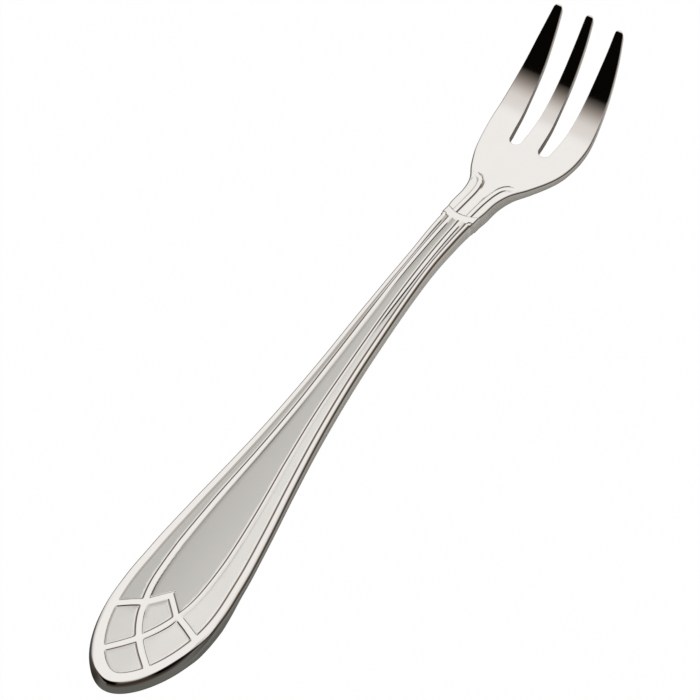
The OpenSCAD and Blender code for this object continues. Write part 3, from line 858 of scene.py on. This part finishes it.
def sidePaintedShades(y, middle):
    return np.concatenate([edgePaintedShade(y, -1), middle, edgePaintedShade(y, 1)[:, ::-1]], axis=1)


def slotPaintedShade(y, count):
    # painted brown shade in the wall of a slot, deepest near its root; the first columns are the wall's
    wallShare = np.concatenate([[1, 0.9, 0.7, 0.4, 0.15], np.zeros(count - 5)])
    return (0.12 + 0.63 * smoothStep(141, 130, y))[:, None] * wallShare


def roundTip(grid, centerX, y, tip):
    # draws the rows near the tip together towards the middle of the tine, whose size falls to nothing
    t = np.clip((y - tip) / headValues["tipRound"] + 1, 0, 1)
    size = np.sqrt(1 - t ** 2.4)[:, None]
    grid = grid.copy()
    for part, center in ((0, centerX), (2, (edgeLevel(y) + backLevel(y)) / 2)):
        grid[:, :, part] = center[:, None] + (grid[:, :, part] - center[:, None]) * size
    return grid


def outerTine(side, node):
    # tine from its inner edge to its outer one, made on the right and mirrored for the left
    tip = forkSizes["outerTip"]
    slotX, innerTop, innerBack = slotEdge(1, outerTable, tip)
    y = innerTop[:, -1, 1]
    outX = headHalfAt(y)
    widths, walls = wallPair(outX, y, outlineLean(y) * np.interp(y, [126, 135, 144], [1, 0.6, 0.5]))
    grids = []
    for inner, width, wall, level in zip((innerTop, innerBack), widths, walls, (edgeLevel(y), backLevel(y))):
        flat = flatGrid(innerTop[:, -1, 0], outX - width, y, headValues["outerColumns"], level)
        grid = np.concatenate([inner, flat[:, 1:-1], wall[:, ::-1]], axis=1)
        grids.append(roundTip(grid, (slotX + outX) / 2, y, tip))
    top, back = grids
    paintedShadeShare = slotPaintedShade(y, top.shape[1])
    paintedShadeShare[:, -len(edgeAngles):] = edgePaintedShade(y, side)[:, ::-1]
    if side < 0:
        top = (top * mirror)[:, ::-1]
        back = (back * mirror)[:, ::-1]
        paintedShadeShare = paintedShadeShare[:, ::-1]
    polishedSlab(node, top, back, paintedShadeShare)


def middleTine(node):
    walls = slotEdge(-1, middleTable, forkLength)[1:]
    half, y = walls[0][:, -1, 0], walls[0][:, -1, 1]
    grids = []
    for wall, level in zip(walls, (edgeLevel(y), backLevel(y))):
        flat = flatGrid(-half, half, y, headValues["middleColumns"], level)
        grids.append(roundTip(betweenWalls(wall, flat[:, 1:-1]), 0 * y, y, forkLength))
    paintedShadeShare = slotPaintedShade(y, grids[0].shape[1])
    polishedSlab(node, grids[0], grids[1], paintedShadeShare + paintedShadeShare[:, ::-1])


def palmGrid(wall, reach, level):
    # the palm's face, whose columns meet those of the three tines
    slotX = headValues["slotOffset"] * np.ones(len(palmY))
    right = flatGrid(slotX, reach, palmY, headValues["outerColumns"], level)[:, 1:-1]
    middle = flatGrid(-slotX, slotX, palmY, headValues["middleColumns"], level)
    return betweenWalls(wall, np.concatenate([(right * mirror)[:, ::-1], middle, right], axis=1))


outerTine(1, "tine_right")
outerTine(-1, "tine_left")
middleTine("tine_middle")
palmY = np.linspace(forkSizes["palmStart"], forkSizes["slotRoot"] - headValues["slotRound"], 60)
palmOut = headHalfAt(palmY)
palmWidths, palmWalls = wallPair(palmOut, palmY, outlineLean(palmY))
palmTop = palmGrid(palmWalls[0], palmOut - palmWidths[0], edgeLevel(palmY))
palmBack = palmGrid(palmWalls[1], palmOut - palmWidths[1], backLevel(palmY))
palmPaintedShade = sidePaintedShades(palmY, np.zeros((len(palmY), palmTop.shape[1] - 2 * len(edgeAngles))))
polishedSlab("palm", palmTop, palmBack, palmPaintedShade)
print("palm and tines ready")

# Neck with its two small ribs
neckValues = {
    "columns": 150,
    "rows": 110,
    "channelDrop": 0.2,         # depth of the neck's channel
    "ribHeight": 0.3,
    "ribWidth": 0.74,
    "grooveWidth": 0.16,
    "bandHeight": 0.16,         # height of the band outside a rib above the channel
    "narrowing": 0.32,          # how much narrower the neck is by the collar
    "paintedShade": (-0.06, 0.05),     # places where the painted shade line begins and ends beside a rib
    "paintedShadeEnd": (0.24, 0.1),
}
neckRibPath = finePath([(1.3, 104), (1.3, 109), (1.4, 111.5), (1.6, 112.9), (1.95, 114.1), (2.5, 114.95),
                        (3.3, 115.5), (4.3, 115.65), (4.9, 115.6)], 0.4)


def neckReliefAt(x, y):
    # the small rib, and the flush band between it and the edge, above the channel
    v = neckValues
    x = np.abs(x)
    distance = pathDistance(neckRibPath, x, y)
    ribX = np.interp(y, [p[1] for p in neckRibPath], [p[0] for p in neckRibPath])
    rib = bandShape(v["ribWidth"] / 2 - distance, 0.18) * smoothStep(4.2, 1.7, x)
    outside = np.where(x > ribX, distance, -distance) - v["ribWidth"] / 2 - v["grooveWidth"]
    band = bandShape(outside, 0.16) * smoothStep(115.6, 113.6, y)
    return rib, band


def neckPaintedShade(x, y):
    # painted shade lines at the feet of the small ribs, stronger where they face right, and weak where they
    # curl
    v = neckValues
    near = 0.01
    distance, ahead, beyond = (pathDistance(neckRibPath, np.abs(px), py) - v["ribWidth"] / 2
                               for px, py in ((x, y), (x + near, y), (x, y + near)))
    right = smoothStep(-0.2, 0.8, (ahead - distance) / near)
    curl = smoothStep(0.2, 0.9, np.abs(beyond - distance) / near) * smoothStep(113.4, 114.6, y)
    wide = 0.22 * lineAt(y, (112.3, 113.3, 114.5, 115.2)) * right * (x < 0)
    line = smoothStep(*v["paintedShade"], distance) * smoothStep(*v["paintedShadeEnd"], distance - wide)
    return line * (0.3 + 0.6 * right) * (1 - 0.75 * curl) * smoothStep(4.4, 2.9, np.abs(x))


neckY = np.linspace(forkSizes["collarStart"], forkSizes["palmStart"], neckValues["rows"])
neckEdge, neckLow = edgeLevel(neckY), backLevel(neckY)
neckOut = headHalfAt(neckY) - neckValues["narrowing"] * smoothStep(109, 104.5, neckY)
neckWidths, neckWalls = wallPair(neckOut, neckY, outlineLean(neckY))
topHalf, backHalf = neckOut - neckWidths[0], neckOut - neckWidths[1]
flatTop = flatGrid(-topHalf, topHalf, neckY, neckValues["columns"], neckEdge)
flatBack = flatGrid(-backHalf, backHalf, neckY, neckValues["columns"], neckLow)
flatX, flatY = flatTop[:, :, 0], flatTop[:, :, 1]
ribShare, bandShare = neckReliefAt(flatX, flatY)
channel = neckValues["channelDrop"] * smoothStep(forkSizes["palmStart"] - 0.3, 111, flatY)
edgeFade = smoothStep(0, 0.3, topHalf[:, None] - np.abs(flatX))
flatTop[:, :, 2] += (neckValues["bandHeight"] * bandShare - channel) * edgeFade
neckPaintedShadeGrid = neckPaintedShade(flatX, flatY)
neckTop, neckBack = (betweenWalls(wall, flat[:, 1:-1]) for wall, flat in zip(neckWalls, (flatTop, flatBack)))
polishedSlab("neck", neckTop, neckBack, sidePaintedShades(neckY, neckPaintedShadeGrid[:, 1:-1]))
ribTop = flatTop.copy()
ribTop[:, :, 2] += neckValues["ribHeight"] * ribShare
ribMask = corners(ribShare).max(0) > 0.003
ribFloor = flatTop - np.array([0, 0, floorDrop])
leftFaces = corners(flatX).mean(0) < 0
for node, sideMask in (("neck_rib_left", leftFaces), ("neck_rib_right", ~leftFaces)):
    polishedSlab(node, ribTop, ribFloor, neckPaintedShadeGrid, ribMask & sideMask, gridNormals(ribTop))
print("neck ready")

# Collar: a bowed band round the stem
collarValues = {
    "height": 0.08,
    "foot": 0.4,                # how far its edges go down into the handle and the neck
    "start": 103.72,
    "end": 105.68,
    "startBow": 1.05,
    "endBow": 1.1,
    "half": 3.05,
    "hiddenHalf": 2.3,          # half width outside the band
    "shown": (104.6, 104.85, 106.7, 106.95),
    # places of the painted shade lines by the lower and the upper edge
    "lowerLine": (-0.08, 0.06, 0.2, 0.36),
    "upperLine": (-0.25, -0.1, 0, 0.15),
}


def collarShape():
    # Crowned strip across the stem whose two edges bow as parabolas. Its sides fall as a quarter of an
    # ellipse, and it reaches round the back.
    v = collarValues
    y = np.linspace(v["start"] - 0.5, v["end"] + v["endBow"] + 0.5, 70)
    inBand = lineAt(y, v["shown"])
    half = v["hiddenHalf"] + (v["half"] - v["hiddenHalf"]) * inBand
    share = np.sin(np.linspace(-math.pi / 2, math.pi / 2, 91))
    x = half[:, None] * share
    rowY = np.repeat(y[:, None], len(share), axis=1)
    bow = (x / 3.1) ** 2
    lower = rowY - v["start"] - v["startBow"] * bow
    upper = v["end"] + v["endBow"] * bow - rowY
    height = -v["foot"] + (v["foot"] + v["height"]) * smoothStep(-0.45, 0.3, np.minimum(lower, upper))
    edge = np.abs(share)[None, :]
    drop = 0.55 * (1 - np.sqrt(np.maximum(0, 1 - np.maximum(0, (edge - 0.8) / 0.2) ** 2)))
    top = np.stack([x, rowY, edgeLevel(rowY) + 0.05 + height - drop], 2)
    backZ = backLevel(rowY) + 0.45 - (0.47 + 0.1 * (1 - edge ** 2)) * inBand[:, None]
    back = np.stack([x, rowY, backZ + 0.4 * np.maximum(0, (edge - 0.85) / 0.15) ** 2], 2)
    onTop = smoothStep(0.97, 0.9, edge)
    # painted shade: a dark line by the lower edge, on the left and on top by the right end
    strength = 0.95 * smoothStep(0, -0.5, x) + 0.8 * smoothStep(2.1, 2.5, x) * onTop
    # painted shade: a weak dark line by the upper edge as well
    paintedShadeShare = lineAt(lower, v["lowerLine"]) * strength + 0.15 * lineAt(upper, v["upperLine"])
    # painted shade: darker towards the left end
    return top, back, np.clip(paintedShadeShare + 0.5 * smoothStep(-2.7, -3.0, x), 0, 1)


polishedSlab("collar", *collarShape())
print("collar ready")

# Camera at the photograph's angle
cameraView = {
    "azimuth": 39.853,          # degrees round the upright from the side of the handle's end
    "elevation": 51.379,
    "roll": -8.943,
    "scale": 6.2463,            # pixels of a 700 pixel frame to a millimetre at the target
    "distance": 2996.8,
    "target": (0, 0.45, 3.0),
    "slide": (4.465, -13.772),  # pixels from the frame's middle to the target
}


def placeCamera():
    view = cameraView
    azimuth, elevation, roll = (math.radians(view[key]) for key in ("azimuth", "elevation", "roll"))
    turn = Matrix.Rotation(azimuth, 3, "Z") @ Matrix.Rotation(math.pi / 2 - elevation, 3, "X")
    turn = turn @ Matrix.Rotation(roll, 3, "Z")
    slideX, slideY = (pixels / view["scale"] for pixels in view["slide"])
    spot = Vector(view["target"]) + turn @ Vector((-slideX, -slideY, view["distance"]))
    data = bpy.data.cameras.new("camera")
    data.sensor_width = 36
    data.lens = view["scale"] * view["distance"] / 700 * 36
    data.clip_end = 10
    camera = bpy.data.objects.new("camera", data)
    camera.matrix_world = Matrix.Translation(spot / 1000) @ turn.to_4x4()
    bpy.context.scene.collection.objects.link(camera)
    bpy.context.scene.camera = camera


placeCamera()

# Studio: a pale floor, one big soft light above, and dim surroundings
studio = {
    "floorPaintedShadow": (0.17, 0.175, 0.16, 1),    # floor as the metal sees it, by the handle's end: painted shadow of the fork
    "floorPaintedLit": (0.78, 0.775, 0.745, 1),    # and by the tines, lighter
    "floorTurn": (-0.085, 0.03),            # where along the fork it turns from one to the other
    "paper": (0.9, 0.9, 0.9, 1),            # floor as the camera sees it
    "white": (1, 1, 1, 1),
    "warm": (1, 0.86, 0.75, 1),
    "dark": (0.0025, 0.002, 0.0015, 1),
    "floorSize": 3.0,
    # edges of the soft box, as slopes from straight up: where it is dark and where it is full
    "boxEdge": (-0.635, -0.61),
    "boxNear": (-0.67, -0.27),
    "boxFar": (-0.5, 0.3),
    "boxNearShare": 0.74,
    "boxBack": (4.5, 3.2),
    "boxRight": (1.1, 0.7),
    "boxLeft": (-5.0, -2.2),
    "lowLight": 0.18,           # light from near the horizon, and from the front right
    "frontLight": 0.2,
    "backLight": 0.05,
}


def makeFloor():
    data = bpy.data.meshes.new("floor")
    h = studio["floorSize"]
    z = -0.00002
    data.from_pydata([(-h, -h, z), (h, -h, z), (h, h, z), (-h, h, z)], [], [(0, 1, 2, 3)])
    floor = bpy.data.objects.new("floor", data)
    bpy.context.scene.collection.objects.link(floor)
    material, tree = newMaterial("floor_paper")
    camera, glossy, through = rays(tree, "Camera", "Glossy", "Transmission")
    place = addNode(tree, "ShaderNodeTexCoord", {}, {}, "Object")
    along = addNode(tree, "ShaderNodeSeparateXYZ", {}, {0: place}, 1)
    turn = rampStep(tree, along, *studio["floorTurn"])
    # painted shadow: the floor that the metal sees is dark by the handle's end and light by the tines
    color = mixColor(tree, turn, studio["floorPaintedShadow"], studio["floorPaintedLit"])
    color = mixColor(tree, camera, color, studio["paper"])
    plain = addNode(tree, "ShaderNodeBsdfDiffuse", {}, {"Color": color})
    glow = addNode(tree, "ShaderNodeEmission", {}, {"Color": studio["white"], "Strength": 1.0})
    factor = camera * 0.992 + glossy * 0.03 + through * 0.5
    shader = addNode(tree, "ShaderNodeMixShader", {}, {0: factor, 1: plain, 2: glow})
    addNode(tree, "ShaderNodeOutputMaterial", {}, {"Surface": shader})
    data.materials.append(material)


def makeWorld():
    # A soft box overhead, drawn by direction: bright within its edges, black towards the handle's end, with
    # a paler side, a dim light near the horizon, and white to the camera
    world = bpy.data.worlds.new("studio")
    bpy.context.scene.world = world
    world.use_nodes = True
    tree = world.node_tree
    tree.nodes.clear()
    way = addNode(tree, "ShaderNodeTexCoord", {}, {}, "Generated")
    x, y, z = (addNode(tree, "ShaderNodeSeparateXYZ", {}, {0: way}, k) for k in range(3))
    rise = z.high(0.02)
    px = x / rise
    py = y / rise

    def ramp(value, name):
        return rampStep(tree, value, *studio[name])

    near = studio["boxNearShare"]
    front = (ramp(py, "boxNear") * near + ramp(py, "boxFar") * (1 - near)) * ramp(py, "boxEdge")
    side = 0.45 + 0.55 * ramp(px, "boxLeft")
    box = front * side * ramp(py, "boxBack") * ramp(px, "boxRight")
    low = studio["lowLight"] * rampStep(tree, z, 0.4, 0.28)
    ahead = studio["frontLight"] * rampStep(tree, x, 0.12, 0.35) * rampStep(tree, y, -0.1, -0.3)
    behind = studio["backLight"] * rampStep(tree, y, -0.05, 0.25)
    box = box.high(low.high(ahead).high(behind)) * rampStep(tree, z, -0.02, 0.02)
    camera, through = rays(tree, "Camera", "Transmission")
    tint = mixColor(tree, front, studio["warm"], studio["white"])
    level = mixColor(tree, box, studio["dark"], tint)
    level = mixColor(tree, camera.high(through), level, studio["white"])
    shader = addNode(tree, "ShaderNodeBackground", {}, {"Color": level, "Strength": 1.0})
    addNode(tree, "ShaderNodeOutputWorld", {}, {"Surface": shader})


makeFloor()
makeWorld()
bpy.context.scene.view_settings.view_transform = "Standard"
print("studio ready")
